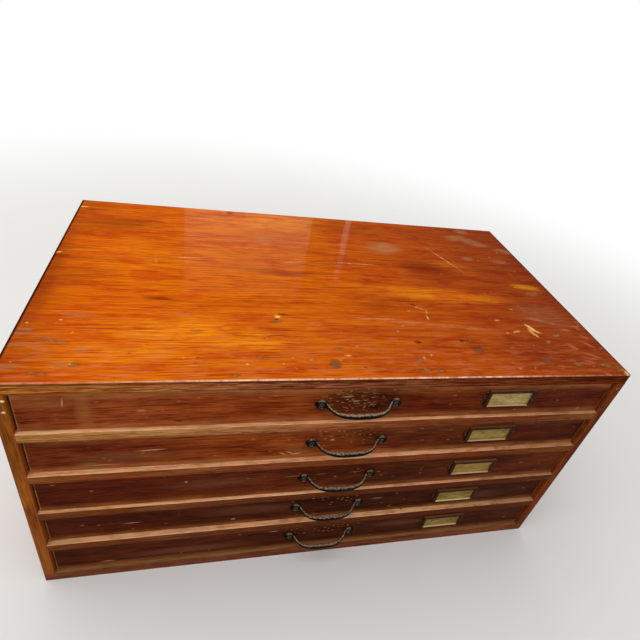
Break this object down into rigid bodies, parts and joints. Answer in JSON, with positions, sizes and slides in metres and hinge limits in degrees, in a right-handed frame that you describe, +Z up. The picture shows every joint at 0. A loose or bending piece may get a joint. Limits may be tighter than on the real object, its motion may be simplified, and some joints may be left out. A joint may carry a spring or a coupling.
{
  "type": "type case cabinet",
  "caption": "Low wooden chest of wide shallow type drawers on runners, each with compartments, a cast bow pull and a label holder.",
  "frame": {"origin": "centre of the flat base that the cabinet stands on", "axes": "+X along the width, to the right as seen from the front; +Y towards the back; +Z up through the top"},
  "size_m": [0.864, 0.4933, 0.435],
  "materials": {
    "top_pine": "glossy orange varnish, worn at the edges",
    "case_wood": "golden brown varnish, worn",
    "back_wood": "bare, aged",
    "drawer_front_wood": "red-brown varnish, worn",
    "drawer_box_wood": "bare, aged",
    "pull_iron": "black, rubbed on top",
    "label_metal": "dark bronze patina",
    "card_paper": "yellowed card",
    "fixing_steel": "dulled"
  },
  "bodies": {
    "case": {"top_board": "top_pine", "bottom_board": "back_wood", "left_side": "case_wood", "right_side": "case_wood", "back_boards": "back_wood", "front_rails": "case_wood", "drawer_runners": "back_wood", "runner_screws": "fixing_steel", "drawer_stops": "back_wood", "case_nails": "fixing_steel"},
    "drawer_1": {"drawer_1_front": "drawer_front_wood", "drawer_1_label_holder": "label_metal", "drawer_1_label_card": "card_paper", "drawer_1_fixings": "fixing_steel", "drawer_1_left_wall": "drawer_box_wood", "drawer_1_right_wall": "drawer_box_wood", "drawer_1_back": "drawer_box_wood", "drawer_1_floor": "drawer_box_wood", "drawer_1_partitions": "drawer_box_wood", "drawer_1_pull": "pull_iron"},
    "drawer_2": {"drawer_2_front": "drawer_front_wood", "drawer_2_label_holder": "label_metal", "drawer_2_label_card": "card_paper", "drawer_2_fixings": "fixing_steel", "drawer_2_left_wall": "drawer_box_wood", "drawer_2_right_wall": "drawer_box_wood", "drawer_2_back": "drawer_box_wood", "drawer_2_floor": "drawer_box_wood", "drawer_2_partitions": "drawer_box_wood", "drawer_2_pull": "pull_iron"},
    "drawer_3": {"drawer_3_front": "drawer_front_wood", "drawer_3_label_holder": "label_metal", "drawer_3_label_card": "card_paper", "drawer_3_fixings": "fixing_steel", "drawer_3_left_wall": "drawer_box_wood", "drawer_3_right_wall": "drawer_box_wood", "drawer_3_back": "drawer_box_wood", "drawer_3_floor": "drawer_box_wood", "drawer_3_partitions": "drawer_box_wood", "drawer_3_pull": "pull_iron"},
    "drawer_4": {"drawer_4_front": "drawer_front_wood", "drawer_4_label_holder": "label_metal", "drawer_4_label_card": "card_paper", "drawer_4_fixings": "fixing_steel", "drawer_4_left_wall": "drawer_box_wood", "drawer_4_right_wall": "drawer_box_wood", "drawer_4_back": "drawer_box_wood", "drawer_4_floor": "drawer_box_wood", "drawer_4_partitions": "drawer_box_wood", "drawer_4_pull": "pull_iron"},
    "drawer_5": {"drawer_5_front": "drawer_front_wood", "drawer_5_label_holder": "label_metal", "drawer_5_label_card": "card_paper", "drawer_5_fixings": "fixing_steel", "drawer_5_left_wall": "drawer_box_wood", "drawer_5_right_wall": "drawer_box_wood", "drawer_5_back": "drawer_box_wood", "drawer_5_floor": "drawer_box_wood", "drawer_5_partitions": "drawer_box_wood", "drawer_5_pull": "pull_iron"}
  },
  "joints": [
    {"name": "drawer_1_slide", "type": "slide", "parent": "case", "child": "drawer_1", "axis": [0, -1, 0], "range_m": [-0.00293, 0.33]},
    {"name": "drawer_2_slide", "type": "slide", "parent": "case", "child": "drawer_2", "axis": [0, -1, 0], "range_m": [-0.00112, 0.33]},
    {"name": "drawer_3_slide", "type": "slide", "parent": "case", "child": "drawer_3", "axis": [0, -1, 0], "range_m": [-0.00352, 0.33]},
    {"name": "drawer_4_slide", "type": "slide", "parent": "case", "child": "drawer_4", "axis": [0, -1, 0], "range_m": [0, 0.33]},
    {"name": "drawer_5_slide", "type": "slide", "parent": "case", "child": "drawer_5", "axis": [0, -1, 0], "range_m": [-0.00202, 0.33]}
  ]
}
